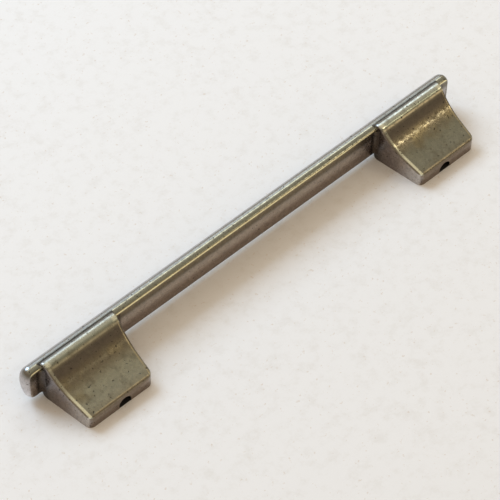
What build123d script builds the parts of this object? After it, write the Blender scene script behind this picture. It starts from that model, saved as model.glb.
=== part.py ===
from build123d import *
import math
import os

# One-piece die-cast bridge pull, lying on the flat undersides of its feet.
# It is drawn with X along the bar, the finger face in the plane y = 0, the
# feet reaching towards -Y and their undersides on z = 0.

screw_pitch = 96.0            # distance between the two screw holes
screw_hole_d = 3.3            # tapping size of an M4 thread
screw_hole_axis_z = 0.6       # so low that the hole breaks out underneath
screw_hole_depth = 9.0

foot_reach = 13.1             # finger face to mounting face
foot_offset = 0.9             # middle of a foot, outboard of its screw hole
foot_front_width = 17.4       # across the mounting face
foot_back_width = 20.2        # across the foot where it joins the bar
foot_corner_round = 1.5       # upright corners beside the mounting face
foot_top_round = 0.55          # rim all round the top of the foot

bar_overhang = 3.65           # bar's end beyond the widest part of a foot
bar_underside_z = 1.25
bar_height = 8.65
bar_depth = 4.05              # finger face to the bar's back
bar_crown_y = 1.3             # highest line of the bar, behind its face
bar_crown_radius = 1.9        # small arcs at the oval's top and bottom
end_round_less = 0.1          # the ends' rounding is this much smaller than that
bar_edge_round = 0.35         # top edge of the finger face

plate_front_height = 3.4      # top of the foot at the mounting face
plate_length = 5.1            # flat part, up to where the sweep begins
plate_end_height = 5.2

crest_rise = 0.6              # crest above the top of the bar
crest_top_y = -0.1
crest_back_y = 1.1            # where the crest sinks into the bar's top
crest_back_drop = 0.3         # and how far below the bar's top that is
lip_y = -1.7                  # where the sweep meets the crest
lip_drop = 0.77               # lip below the top of the crest

heel_length = 0.7             # the underside curls up this far from the bar
heel_radius = 1.3
heel_lap = 0.1                # curl's top end above the bar's lower edge

root_round = 1.2              # where a foot's side meets the finger face
root_low_z = 2.0
root_drop = 1.0               # top of the rounding below the bar's top

# the oval's back arc touches the crown arcs, whose centres stand at
# the height crown_rise above and below the middle of the bar
bar_top_z = bar_underside_z + bar_height
bar_centre_z = bar_underside_z + bar_height / 2
crown_rise = bar_height / 2 - bar_crown_radius
crown_back = bar_depth - bar_crown_y
back_radius = (crown_back**2 + crown_rise**2 - bar_crown_radius**2) / (
    2 * (crown_back - bar_crown_radius)
)
touch_angle = math.atan2(crown_rise, bar_crown_y + back_radius - bar_depth)
touch_y = bar_crown_y + bar_crown_radius * math.cos(touch_angle)
touch_rise = crown_rise + bar_crown_radius * math.sin(touch_angle)
face_rise = crown_rise + math.sqrt(bar_crown_radius**2 - bar_crown_y**2)
face_bottom_z = bar_centre_z - face_rise

foot_centre_x = screw_pitch / 2 + foot_offset
front_x = foot_centre_x + foot_front_width / 2
back_x = foot_centre_x + foot_back_width / 2
flare = (back_x - front_x) / (foot_reach + crest_back_y)
bar_length = 2 * (back_x + bar_overhang)

plate_end_y = plate_length - foot_reach
plate_rise = (plate_end_height - plate_front_height) / plate_length
crest_top_z = bar_top_z + crest_rise
heel_top_z = face_bottom_z + heel_lap
root_x = back_x - flare * (crest_back_y + root_round)
root_hollow = root_round * (1 - math.sqrt(0.5))

end_x = bar_length / 2
end_round = bar_crown_radius - end_round_less
oval_front_y = bar_crown_y - bar_crown_radius


with BuildPart() as half_foot:
    # plan of the outer half of the right foot, wider towards the bar
    with BuildSketch(Plane.XY):
        with BuildLine():
            Polyline(
                (foot_centre_x, crest_back_y),
                (foot_centre_x, -foot_reach),
                (front_x, -foot_reach),
                (back_x, crest_back_y),
                close=True,
            )
        make_face()
    extrude(amount=crest_top_z + 1)
    front_corner = half_foot.edges().filter_by(Axis.Z).sort_by(
        lambda edge: edge.center().Y - edge.center().X
    )
    fillet(front_corner[0], radius=foot_corner_round)

    # side profile: plate, sweep, crest, then down to the heel
    with BuildSketch(Plane.YZ.offset(foot_centre_x)):
        with BuildLine():
            Line(
                (-foot_reach, plate_front_height),
                (plate_end_y, plate_end_height),
            )
            TangentArc(
                (plate_end_y, plate_end_height),
                (lip_y, crest_top_z - lip_drop),
                tangent=(1, plate_rise),
            )
            TangentArc(
                (crest_top_y, crest_top_z),
                (lip_y, crest_top_z - lip_drop),
                tangent=(-1, 0),
            )
            TangentArc(
                (crest_top_y, crest_top_z),
                (crest_back_y, bar_top_z - crest_back_drop),
                tangent=(1, 0),
            )
            Polyline(
                (crest_back_y, bar_top_z - crest_back_drop),
                (crest_back_y, heel_top_z),
                (0, heel_top_z),
            )
            RadiusArc((0, heel_top_z), (-heel_length, 0), heel_radius)
            Polyline(
                (-heel_length, 0),
                (-foot_reach, 0),
                (-foot_reach, plate_front_height),
            )
        make_face()
    extrude(amount=foot_back_width, mode=Mode.INTERSECT)

    # rim along the front of the plate, up the side and over the crest
    upper_edges = half_foot.edges().filter_by_position(
        Axis.Z, plate_front_height - 0.1, crest_top_z + 1
    )
    outer_edges = upper_edges.filter_by_position(
        Axis.X, foot_centre_x + 0.1, back_x + 1
    )
    curved_rim = outer_edges.filter_by(GeomType.LINE, reverse=True)
    straight_rim = outer_edges.filter_by(GeomType.LINE).filter_by_position(
        Axis.Y, -foot_reach - 0.1, plate_end_y - 0.1
    )
    fillet(curved_rim + straight_rim, radius=foot_top_round)

    # hollow root where the side meets the finger face
    with BuildSketch(Plane.XY.offset(root_low_z)):
        with BuildLine():
            ThreePointArc(
                (root_x, -root_round),
                (root_x + root_hollow, -root_hollow),
                (root_x + root_round, 0),
            )
            Polyline(
                (root_x + root_round, 0),
                (root_x + root_round, crest_back_y / 2),
                (root_x - root_round, crest_back_y / 2),
                (root_x - root_round, -root_round),
                (root_x, -root_round),
            )
        make_face()
    extrude(amount=bar_top_z - root_drop - root_low_z)


with BuildPart() as foot:
    add(half_foot.part)
    mirror(half_foot.part, about=Plane.YZ.offset(foot_centre_x))


with BuildPart() as casting:
    # the bar, an upright oval rounded off all round its ends
    with BuildSketch(Plane.YZ.offset(-end_x)):
        with BuildLine():
            Line(
                (oval_front_y, bar_centre_z - crown_rise),
                (oval_front_y, bar_centre_z + crown_rise),
            )
            ThreePointArc(
                (oval_front_y, bar_centre_z + crown_rise),
                (bar_crown_y, bar_top_z),
                (touch_y, bar_centre_z + touch_rise),
            )
            ThreePointArc(
                (touch_y, bar_centre_z + touch_rise),
                (bar_depth, bar_centre_z),
                (touch_y, bar_centre_z - touch_rise),
            )
            ThreePointArc(
                (touch_y, bar_centre_z - touch_rise),
                (bar_crown_y, bar_underside_z),
                (oval_front_y, bar_centre_z - crown_rise),
            )
        make_face()
    extrude(amount=bar_length)
    fillet(casting.edges().filter_by(Axis.X, reverse=True), radius=end_round)

    # the finger face is cut flat, which leaves its edges sharp at the ends
    split(bisect_by=Plane.XZ, keep=Keep.BOTTOM)
    face_edges = casting.edges().filter_by(Axis.X).filter_by_position(
        Axis.Y, -0.01, 0.01
    )
    fillet(face_edges.sort_by(Axis.Z)[-1], radius=bar_edge_round)

    # the two feet, mirror images of each other
    add(foot.part)
    mirror(foot.part, about=Plane.YZ)

    # screw holes, bored square to the mounting faces
    with BuildSketch(Plane.XZ.offset(foot_reach)):
        with Locations(
            (-screw_pitch / 2, screw_hole_axis_z),
            (screw_pitch / 2, screw_hole_axis_z),
        ):
            Circle(screw_hole_d / 2)
    extrude(amount=-screw_hole_depth, mode=Mode.SUBTRACT)


with BuildPart() as handle:
    # the origin goes midway between the screw holes, on the mounting plane
    with Locations((0, foot_reach, -screw_hole_axis_z)):
        add(casting.part)

handle.part.label = "handle"

os.makedirs("parts", exist_ok=True)
export_step(handle.part, "parts/handle.step")
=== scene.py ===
import bpy
import math
from mathutils import Matrix, Vector


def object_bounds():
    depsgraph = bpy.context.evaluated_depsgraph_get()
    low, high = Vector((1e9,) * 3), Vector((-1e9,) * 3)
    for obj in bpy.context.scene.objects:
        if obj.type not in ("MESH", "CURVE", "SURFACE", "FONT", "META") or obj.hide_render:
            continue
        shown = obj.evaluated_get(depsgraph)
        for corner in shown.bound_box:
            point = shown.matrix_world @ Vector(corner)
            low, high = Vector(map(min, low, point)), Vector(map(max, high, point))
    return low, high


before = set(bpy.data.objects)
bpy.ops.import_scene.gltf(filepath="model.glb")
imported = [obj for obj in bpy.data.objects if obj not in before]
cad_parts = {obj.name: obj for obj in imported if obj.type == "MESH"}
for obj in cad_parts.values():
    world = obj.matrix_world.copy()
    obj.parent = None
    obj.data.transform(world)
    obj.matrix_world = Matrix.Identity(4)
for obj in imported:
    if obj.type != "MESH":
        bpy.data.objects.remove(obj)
cad_low, cad_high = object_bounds()
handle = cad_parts["handle"]
mm = 0.001

# Sizes of the casting, in millimetres. X runs along the bar, the mounting
# faces lie in y = 0 and the bar's finger face in y = foot_reach.
screw_pitch = 96.0
screw_hole_radius = 1.65
foot_reach = 13.1
foot_offset = 0.9             # middle of a foot, outboard of its screw hole
foot_front_width = 17.4
foot_back_width = 20.2        # at the groove behind the crest
plate_length = 5.1            # flat part of a foot's top
lip_y = 11.4                  # front edge of the crest
crest_back_y = 14.2           # groove where the crest sinks into the bar's top
bar_top_z = 9.3
bar_half_length = cad_high[0] / mm
foot_underside_z = cad_low[2] / mm

foot_centre_x = screw_pitch / 2 + foot_offset
foot_front_half = foot_front_width / 2
foot_flare = (foot_back_width / 2 - foot_front_half) / crest_back_y


# ---------------------------------------------------------------- camera
# It looks down at the handle from its left front corner.
aim = Vector((-0.588, 12.336, -0.2)) * mm
view_azimuth = math.radians(45.0024)
view_elevation = math.radians(49.641)
view_roll = math.radians(1.5384)
view_distance = 523.144 * mm
lens_mm = 173.357
sensor_mm = 36.0
clip_near = 0.01
clip_far = 10.0


def add_camera():
    data = bpy.data.cameras.new("camera")
    data.sensor_width = sensor_mm
    data.lens = lens_mm
    data.clip_start = clip_near
    data.clip_end = clip_far
    camera = bpy.data.objects.new("camera", data)
    bpy.context.scene.collection.objects.link(camera)
    forward = Vector((
        math.sin(view_azimuth) * math.cos(view_elevation),
        math.cos(view_azimuth) * math.cos(view_elevation),
        -math.sin(view_elevation),
    ))
    camera.location = aim - forward * view_distance
    level = forward.to_track_quat("-Z", "Y")
    roll = Matrix.Rotation(view_roll, 3, "Z").to_quaternion()
    camera.rotation_mode = "QUATERNION"
    camera.rotation_quaternion = level @ roll
    bpy.context.scene.camera = camera


add_camera()


# ---------------------------------------------------------------- helpers
# sockets of a Mix node that mixes colours
mix_factor = 0
mix_below = 6
mix_above = 7
mix_result = 2


class Nodes:
    """Short names for the nodes of one material."""

    def __init__(self, name):
        self.material = bpy.data.materials.new(name)
        self.material.use_nodes = True
        self.tree = self.material.node_tree
        self.tree.nodes.clear()

    def add(self, kind, inputs=None, **settings):
        node = self.tree.nodes.new("ShaderNode" + kind)
        for key, value in settings.items():
            setattr(node, key, value)
        for key, value in (inputs or {}).items():
            if isinstance(value, bpy.types.NodeSocket):
                self.tree.links.new(value, node.inputs[key])
            else:
                node.inputs[key].default_value = value
        return node

    def math(self, operation, a, b=0.0, c=0.0):
        return self.add("Math", {0: a, 1: b, 2: c}, operation=operation).outputs[0]

    def multiply(self, *values):
        result = values[0]
        for value in values[1:]:
            result = self.math("MULTIPLY", result, value)
        return result

    def opposite(self, mask):
        return self.math("SUBTRACT", 1.0, mask)

    def rise(self, value, low, high):
        """0 below low, 1 above high and smooth between; falls if high < low."""
        return self.add(
            "MapRange",
            {"Value": value, "From Min": low, "From Max": high},
            interpolation_type="SMOOTHSTEP",
        ).outputs[0]

    def band(self, value, centre, half, soft):
        """1 within half of the centre, falling to 0 over soft."""
        away = self.math("ABSOLUTE", self.math("SUBTRACT", value, centre))
        return self.rise(away, half + soft, half)

    def noise(self, place, scale, detail, roughness):
        return self.add(
            "TexNoise",
            {"Vector": place, "Scale": scale, "Detail": detail, "Roughness": roughness},
        ).outputs["Fac"]

    def scale(self, vector, factor):
        return self.add("VectorMath", {0: vector, "Scale": factor}, operation="SCALE").outputs[0]

    def split(self, vector):
        return self.add("SeparateXYZ", {0: vector}).outputs

    def tones(self, value, stops):
        """Colours along value, from a list of (position, colour)."""
        first, last = stops[0][0], stops[-1][0]
        along = self.add("MapRange", {"Value": value, "From Min": first, "From Max": last})
        ramp = self.add("ValToRGB", {"Fac": along.outputs[0]})
        elements = ramp.color_ramp.elements
        elements[0].color = (*stops[0][1], 1.0)
        elements[1].color = (*stops[-1][1], 1.0)
        for position, colour in stops[1:-1]:
            element = elements.new((position - first) / (last - first))
            element.color = (*colour, 1.0)
        return ramp.outputs["Color"]

    def paint(self, below, colour, mask, strength=1.0):
        """The colour laid over what is below, where the mask is 1."""
        below, colour = (
            side if isinstance(side, bpy.types.NodeSocket) else (*side, 1.0)
            for side in (below, colour)
        )
        if strength != 1.0:
            mask = self.multiply(mask, strength)
        mix = self.add(
            "Mix",
            {mix_factor: mask, mix_below: below, mix_above: colour},
            data_type="RGBA",
        )
        return mix.outputs[mix_result]


# ---------------------------------------------------------------- metal
pit_soot_and_hole_shade = (0.018, 0.014, 0.012)          # in pits, and as painted shade in the screw holes
umber = (0.075, 0.058, 0.04)          # fine grime
# painted shade where the feet's flanks meet the finger face
corner_shade = (0.075, 0.06, 0.05)
# painted shade: dark gaps in the sweep's highlight streak
streak_gap_shade = (0.07, 0.058, 0.04)
golden_cloud = (0.235, 0.20, 0.115)
dark_cloud = (0.15, 0.14, 0.105)
# painted shade: the right end is darker olive than the left
right_end_shaded_olive = (0.20, 0.18, 0.135)
rim_brown = (0.19, 0.165, 0.13)       # low on the rounded rims
front_brown = (0.16, 0.13, 0.09)
# painted highlight: a thin broken line on the rims away from the feet's left sides
dull_brass_highlight = (0.50, 0.45, 0.30)
# painted highlight on the lip and the plates' front edges
brass_highlight = (0.85, 0.77, 0.52)
gold_edge_highlight = (1.0, 0.90, 0.54)         # painted highlight along the front edge of the bar's top
# painted highlight: pale flecks in the sweep's streak
streak_highlight = (0.80, 0.77, 0.62)
# painted highlights on the rims and the crest ends
rim_highlight = (0.93, 0.98, 0.80)
crest_end_highlight = (0.90, 0.93, 0.76)

streak_y = 8.3                        # deepest line of the sweep, where the painted highlight streak lies
crest_shine_y = 12.3
relief_depth = 0.06 * mm


class Casting(Nodes):
    """The casting's material, with masks that say where on it a point lies."""

    def __init__(self, name):
        super().__init__(name)
        coordinates = self.add("TexCoord").outputs
        self.place = self.scale(coordinates["Object"], 1.0 / mm)
        self.x, self.y, self.z = self.split(self.place)
        face_x, _, face_z = self.split(coordinates["Normal"])

        # how far a point lies from the middle, and inside a foot's flanks
        self.from_middle = self.math("ABSOLUTE", self.x)
        across = self.math("ABSOLUTE", self.math("SUBTRACT", self.from_middle, foot_centre_x))
        half_width = self.math("MULTIPLY_ADD", self.y, foot_flare, foot_front_half)
        self.inside = self.math("SUBTRACT", half_width, across)
        self.to_left = self.rise(self.x, 20.0, -20.0)
        self.to_right = self.opposite(self.to_left)

        # which way it faces, and whether it is on a foot
        self.upright = self.rise(face_z, 0.35, 0.05)
        self.sideways = self.rise(self.math("ABSOLUTE", face_x), 0.6, 0.85)
        self.on_foot = self.multiply(
            self.rise(self.inside, -0.35, -0.1),
            self.rise(self.y, crest_back_y + 0.35, crest_back_y + 0.2),
        )
        self.on_foot_top = self.multiply(self.on_foot, self.rise(face_z, 0.1, 0.4))

        # uneven patina, coarse to fine
        self.cloud = self.noise(self.place, scale=0.13, detail=3.0, roughness=0.55)
        self.mottle = self.noise(self.place, scale=0.9, detail=6.0, roughness=0.68)
        self.speckle = self.noise(self.place, scale=3.2, detail=4.0, roughness=0.7)
        self.broken = self.spots(0.38, 0.52, scale=0.7, detail=5.0, roughness=0.75)
        self.pits = self.spots(0.67, 0.71, scale=1.6, detail=2.0, roughness=0.5)

    def spots(self, low, high, **noise):
        """Spots of 1 where a noise is high, over 0."""
        return self.rise(self.noise(self.place, **noise), low, high)


def paint_bar(n):
    # back from the finger face: a painted highlight on the front edge, a darker strip, olive, a
    # pale painted highlight line on the crown, then steel with stripes of painted reflection
    behind_face = n.math("SUBTRACT", n.y, foot_reach)
    top = n.tones(behind_face, [
        (0.0, gold_edge_highlight),
        (0.06, (0.95, 0.85, 0.51)),
        (0.13, (0.17, 0.165, 0.13)),
        (0.3, (0.15, 0.16, 0.14)),
        (0.5, (0.26, 0.285, 0.24)),
        (0.85, (0.31, 0.33, 0.29)),
        (1.02, (0.32, 0.33, 0.28)),
        (1.1, (0.60, 0.59, 0.45)),
        (1.2, (0.52, 0.51, 0.40)),
        (1.28, (0.23, 0.235, 0.215)),
        (1.45, (0.24, 0.255, 0.25)),
        (1.65, (0.46, 0.50, 0.52)),
        (1.85, (0.50, 0.55, 0.59)),
        (2.05, (0.31, 0.33, 0.36)),
        (2.35, (0.45, 0.465, 0.475)),
        (2.7, (0.40, 0.40, 0.395)),
        (3.2, (0.36, 0.355, 0.35)),
    ])
    # up the finger face: brown, a grey band of painted reflection, brown again and the painted
    # highlight at the top edge
    face = n.tones(n.z, [
        (1.2, (0.20, 0.16, 0.13)),
        (1.8, (0.255, 0.205, 0.178)),
        (3.0, (0.26, 0.21, 0.18)),
        (3.7, (0.325, 0.27, 0.245)),
        (4.3, (0.42, 0.37, 0.34)),
        (5.0, (0.49, 0.445, 0.42)),
        (5.8, (0.475, 0.435, 0.415)),
        (6.2, (0.42, 0.39, 0.365)),
        (6.65, (0.26, 0.24, 0.21)),
        (7.15, (0.19, 0.163, 0.125)),
        (7.9, (0.22, 0.185, 0.13)),
        (8.4, (0.27, 0.235, 0.16)),
        (8.53, gold_edge_highlight),
        (8.75, gold_edge_highlight),
    ])
    on_face = n.multiply(n.upright, n.rise(n.y, foot_reach + 0.9, foot_reach + 0.5))
    return n.paint(top, face, on_face)


def paint_foot_tops(n, colour):
    # back from the mounting face: plate, sweep darkened with painted shade, a painted highlight
    # on the lip, a silver painted reflection on the crest and painted shade in the groove
    top = n.tones(n.y, [
        (0.2, (0.25, 0.22, 0.155)),
        (0.5, (0.29, 0.295, 0.24)),
        (2.0, (0.315, 0.335, 0.285)),
        (5.0, (0.30, 0.315, 0.255)),
        (6.0, (0.265, 0.265, 0.21)),
        (6.75, (0.215, 0.205, 0.155)),
        (7.5, (0.16, 0.145, 0.11)),
        (8.3, (0.17, 0.155, 0.115)),
        (9.0, (0.145, 0.125, 0.09)),
        (9.75, (0.13, 0.112, 0.088)),
        (10.75, (0.125, 0.11, 0.09)),
        (11.1, (0.19, 0.17, 0.125)),
        (11.35, (0.45, 0.43, 0.31)),
        (11.6, (0.26, 0.265, 0.205)),
        (11.85, (0.19, 0.21, 0.18)),
        (12.25, (0.50, 0.56, 0.50)),
        (12.75, (0.54, 0.58, 0.53)),
        (13.25, (0.46, 0.51, 0.53)),
        (13.6, (0.20, 0.21, 0.21)),
        (13.95, (0.07, 0.068, 0.064)),
        (14.25, (0.06, 0.058, 0.055)),
        (14.45, (0.16, 0.16, 0.15)),
    ])
    # painted light: the left plate is painted lighter than the right one
    on_plate = n.rise(n.y, plate_length + 3.0, plate_length)
    side = n.multiply(on_plate, n.math("SUBTRACT", n.to_left, 0.5))
    top = n.scale(top, n.math("MULTIPLY_ADD", side, 0.26, 1.0))
    return n.paint(colour, top, n.on_foot_top)


def paint_foot_sides(n, colour):
    # up the mounting faces
    front = n.tones(n.z, [
        (foot_underside_z, (0.22, 0.18, 0.14)),
        (0.3, (0.25, 0.20, 0.175)),
        (0.9, (0.275, 0.232, 0.20)),
        (1.5, (0.35, 0.31, 0.285)),
        (2.1, (0.295, 0.243, 0.20)),
        (2.7, (0.24, 0.20, 0.135)),
    ])
    colour = n.paint(colour, front, n.multiply(n.upright, n.rise(n.y, 1.2, 0.8)))
    # back along the flanks
    flank = n.tones(n.y, [
        (0.5, (0.51, 0.465, 0.425)),
        (3.0, (0.485, 0.445, 0.41)),
        (5.0, (0.42, 0.38, 0.36)),
        (7.0, (0.33, 0.295, 0.29)),
        (9.0, (0.265, 0.23, 0.225)),
        (11.0, (0.23, 0.20, 0.19)),
        (12.7, (0.13, 0.11, 0.105)),
    ])
    before_bar = n.rise(n.y, foot_reach + 0.3, foot_reach - 0.1)
    return n.paint(colour, flank, n.multiply(n.sideways, before_bar))


def paint_corner_shade(n, colour):
    """Painted shade where the feet's flanks meet the finger face."""
    corner = n.multiply(
        n.band(n.inside, centre=-0.6, half=0.6, soft=0.7),
        n.rise(n.y, lip_y - 0.5, foot_reach - 0.3),
        n.rise(n.y, foot_reach + 0.5, foot_reach + 0.1),
        n.rise(n.z, bar_top_z - 0.4, bar_top_z - 1.4),
    )
    return n.paint(colour, corner_shade, corner, strength=0.85)


def paint_bar_ends(n, colour):
    """The left end carries a painted reflection, pale toward the bottom, and the right one a
    darker olive of painted shade.
    """
    left_end_reflection = n.tones(n.z, [
        (2.0, (0.80, 0.78, 0.78)),
        (3.3, (0.58, 0.55, 0.55)),
        (4.3, (0.51, 0.475, 0.465)),
        (6.3, (0.45, 0.42, 0.41)),
        (7.3, (0.37, 0.335, 0.32)),
        (8.3, (0.22, 0.21, 0.185)),
        (9.1, (0.20, 0.19, 0.17)),
    ])
    at_end = n.rise(n.from_middle, bar_half_length - 1.3, bar_half_length - 0.5)
    colour = n.paint(colour, left_end_reflection, n.multiply(at_end, n.to_left))
    return n.paint(colour, right_end_shaded_olive, n.multiply(at_end, n.to_right), strength=0.8)


def paint_patina(n, colour):
    """Golden and dark clouds on the feet, and uneven wear over all."""
    golden = n.multiply(
        n.on_foot_top,
        n.rise(n.cloud, 0.47, 0.62),
        n.band(n.y, centre=6.2, half=1.8, soft=1.8),
    )
    colour = n.paint(colour, golden_cloud, golden, strength=0.55)
    dark = n.spots(0.5, 0.66, scale=0.4, detail=5.0, roughness=0.65)
    colour = n.paint(colour, dark_cloud, n.multiply(n.on_foot_top, dark), strength=0.45)
    return n.scale(colour, n.math("MULTIPLY_ADD", n.mottle, -1.0, 1.5))


def paint_sweep(n, colour):
    """A flecked painted highlight streak in the sweep with darker painted gaps, and a broken
    painted highlight line on the lip, most on the right.
    """
    share = n.math("MULTIPLY_ADD", n.to_right, 0.8, 0.2)
    flecks = n.spots(0.44, 0.58, scale=1.1, detail=6.0, roughness=0.8)
    streak = n.multiply(n.on_foot_top, n.band(n.y, centre=streak_y, half=0.5, soft=0.6), share)
    core = n.multiply(n.on_foot_top, n.band(n.y, centre=streak_y, half=0.1, soft=0.35), share)
    colour = n.paint(colour, streak_gap_shade, n.multiply(streak, n.opposite(flecks)), strength=0.75)
    colour = n.paint(colour, streak_highlight, n.multiply(core, flecks), strength=0.25)
    lip = n.multiply(n.on_foot_top, n.band(n.y, centre=lip_y, half=0.07, soft=0.12))
    return n.paint(colour, brass_highlight, n.multiply(lip, n.to_right, n.broken), strength=0.7)


def paint_screw_hole_shade(n, colour):
    hole_x = n.math("SUBTRACT", n.from_middle, screw_pitch / 2)
    squares = n.math("ADD", n.multiply(hole_x, hole_x), n.multiply(n.z, n.z))
    # painted shade: the insides of the screw holes are painted near black
    in_hole = n.multiply(
        n.rise(n.math("SQRT", squares), screw_hole_radius + 0.08, screw_hole_radius),
        n.rise(n.y, 0.05, 0.3),
    )
    return n.paint(colour, pit_soot_and_hole_shade, in_hole)


def paint_rims(n, colour):
    """The rims are brown low down and carry painted highlights on top, brightly on the feet's
    left sides.
    """
    left_foot = n.rise(n.x, -foot_centre_x + 1.0, -foot_centre_x - 1.0)
    right_foot = n.multiply(
        n.rise(n.x, foot_centre_x + 1.0, foot_centre_x - 1.0),
        n.rise(n.x, 0.0, 5.0),
    )
    left_side = n.math("MAXIMUM", left_foot, right_foot)
    rim = n.multiply(n.on_foot_top, n.rise(n.y, lip_y + 0.4, lip_y))

    edge = n.multiply(rim, n.rise(n.inside, 0.36, 0.2))
    colour = n.paint(colour, rim_brown, edge, strength=0.8)

    shine = n.math("MULTIPLY_ADD", n.rise(n.y, 8.0, 4.0), 0.75, 0.25)
    top = n.multiply(rim, n.band(n.inside, centre=0.6, half=0.2, soft=0.2))
    colour = n.paint(colour, rim_highlight, n.multiply(top, left_side, shine), strength=0.9)

    crest_end = n.multiply(
        n.on_foot_top,
        n.band(n.inside, centre=0.9, half=0.25, soft=0.6),
        n.band(n.y, centre=crest_shine_y, half=0.25, soft=0.5),
    )
    colour = n.paint(colour, crest_end_highlight, crest_end, strength=0.6)

    thin_top = n.multiply(rim, n.band(n.inside, centre=0.62, half=0.05, soft=0.15))
    glint = n.multiply(thin_top, n.opposite(left_side), n.broken)
    return n.paint(colour, dull_brass_highlight, glint, strength=0.8)


def paint_front_edges(n, colour):
    """The plates' front edges are brown, with a broken painted highlight line."""
    edge = n.multiply(n.on_foot, n.rise(n.y, 0.34, 0.2), n.rise(n.z, 2.3, 2.6))
    colour = n.paint(colour, front_brown, edge, strength=0.75)
    glint = n.multiply(
        n.on_foot_top,
        n.band(n.y, centre=0.42, half=0.04, soft=0.14),
        n.rise(n.inside, 0.5, 1.0),
        n.broken,
    )
    return n.paint(colour, brass_highlight, glint, strength=0.35)


def paint_pits_and_grime(n, colour):
    colour = n.paint(colour, pit_soot_and_hole_shade, n.pits, strength=0.9)
    return n.paint(colour, umber, n.rise(n.speckle, 0.56, 0.70), strength=0.5)


def relief(n):
    """Pits in a fine grain, which is nearly worn away on the crest and the bar."""
    grain = n.math("MULTIPLY_ADD", n.speckle, 0.35, n.mottle)
    crest_or_bar = n.rise(n.y, lip_y - 0.5, lip_y)
    grain = n.multiply(grain, n.math("MULTIPLY_ADD", crest_or_bar, -0.9, 1.0))
    height = n.math("SUBTRACT", grain, n.multiply(n.pits, 1.2))
    bump = n.add("Bump", {"Height": height, "Strength": 0.35, "Distance": relief_depth})
    return bump.outputs[0]


def antique_metal():
    n = Casting("antique_metal")
    colour = paint_bar(n)
    for paint_layer in (
        paint_foot_tops,
        paint_foot_sides,
        paint_corner_shade,
        paint_bar_ends,
        paint_patina,
        paint_sweep,
        paint_screw_hole_shade,
        paint_rims,
        paint_front_edges,
        paint_pits_and_grime,
    ):
        colour = paint_layer(n, colour)
    shader = n.add("BsdfPrincipled", {
        "Base Color": colour,
        "Metallic": 1.0,
        "Roughness": n.math("MULTIPLY_ADD", n.rise(n.mottle, 0.3, 0.7), 0.12, 0.21),
        "Normal": relief(n),
    })
    n.add("OutputMaterial", {"Surface": shader.outputs[0]})
    return n.material


metal = antique_metal()
for slot in handle.material_slots:
    slot.material = metal


# ---------------------------------------------------------------- floor
paper_white = (0.88, 0.885, 0.89)
paper_fibre = (0.82, 0.815, 0.805)
paper_speck = (0.66, 0.56, 0.46)
paper_shade = (0.01, 0.008, 0.007)
paper_roughness = 0.9
floor_half = 1.5


def paper():
    n = Nodes("paper")
    place = n.scale(n.add("TexCoord").outputs["Object"], 1.0 / mm)
    fibres = n.noise(place, scale=0.35, detail=6.0, roughness=0.7)
    colour = n.paint(paper_white, paper_fibre, n.rise(fibres, 0.45, 0.75))
    specks = n.noise(place, scale=1.2, detail=3.0, roughness=0.6)
    colour = n.paint(colour, paper_speck, n.rise(specks, 0.64, 0.72), strength=0.5)
    # deep shade inside the open screw holes
    x, y, _ = n.split(place)
    hole_x = n.math("SUBTRACT", n.math("ABSOLUTE", x), screw_pitch / 2)
    in_hole = n.multiply(
        n.band(hole_x, centre=0.0, half=screw_hole_radius - 0.15, soft=0.15),
        n.band(y, centre=2.0, half=1.9, soft=0.1),
    )
    colour = n.paint(colour, paper_shade, in_hole)
    shader = n.add("BsdfPrincipled", {"Base Color": colour, "Roughness": paper_roughness})
    n.add("OutputMaterial", {"Surface": shader.outputs[0]})
    return n.material


def add_floor():
    z = cad_low[2]
    corners = [
        (-floor_half, -floor_half, z),
        (floor_half, -floor_half, z),
        (floor_half, floor_half, z),
        (-floor_half, floor_half, z),
    ]
    mesh = bpy.data.meshes.new("floor")
    mesh.from_pydata(corners, [], [(0, 1, 2, 3)])
    mesh.materials.append(paper())
    floor = bpy.data.objects.new("floor", mesh)
    bpy.context.scene.collection.objects.link(floor)


add_floor()


# ---------------------------------------------------------------- light
room_colour = (1.0, 0.82, 0.62, 1.0)
room_strength = 0.60


def add_area_light(name, azimuth, elevation, distance, width, height, power, colour):
    """Azimuth 0 stands behind the handle (+Y) and 90 at its right end (+X)."""
    data = bpy.data.lights.new(name, "AREA")
    data.shape = "RECTANGLE"
    data.size = width
    data.size_y = height
    data.energy = power
    data.color = colour
    light = bpy.data.objects.new(name, data)
    turn = math.radians(azimuth)
    tilt = math.radians(elevation)
    away = Vector((
        math.sin(turn) * math.cos(tilt),
        math.cos(turn) * math.cos(tilt),
        math.sin(tilt),
    ))
    light.location = away * distance
    light.rotation_mode = "QUATERNION"
    light.rotation_quaternion = (-away).to_track_quat("-Z", "Y")
    bpy.context.scene.collection.objects.link(light)


def add_room_light():
    world = bpy.data.worlds.new("world")
    bpy.context.scene.world = world
    world.use_nodes = True
    background = world.node_tree.nodes["Background"]
    background.inputs["Color"].default_value = room_colour
    background.inputs["Strength"].default_value = room_strength


add_area_light(
    "window", azimuth=-9.0, elevation=43.0, distance=1.0,
    width=0.5, height=0.5, power=6.7, colour=(0.62, 0.80, 1.0),
)
add_area_light(
    "sky", azimuth=45.0, elevation=47.0, distance=1.0,
    width=0.45, height=0.4, power=1.0, colour=(0.84, 0.95, 1.0),
)
add_area_light(
    "lamp", azimuth=133.4, elevation=43.2, distance=0.82,
    width=0.035, height=0.035, power=0.30, colour=(1.0, 0.86, 0.60),
)
add_room_light()

bpy.context.scene.view_settings.view_transform = "Standard"
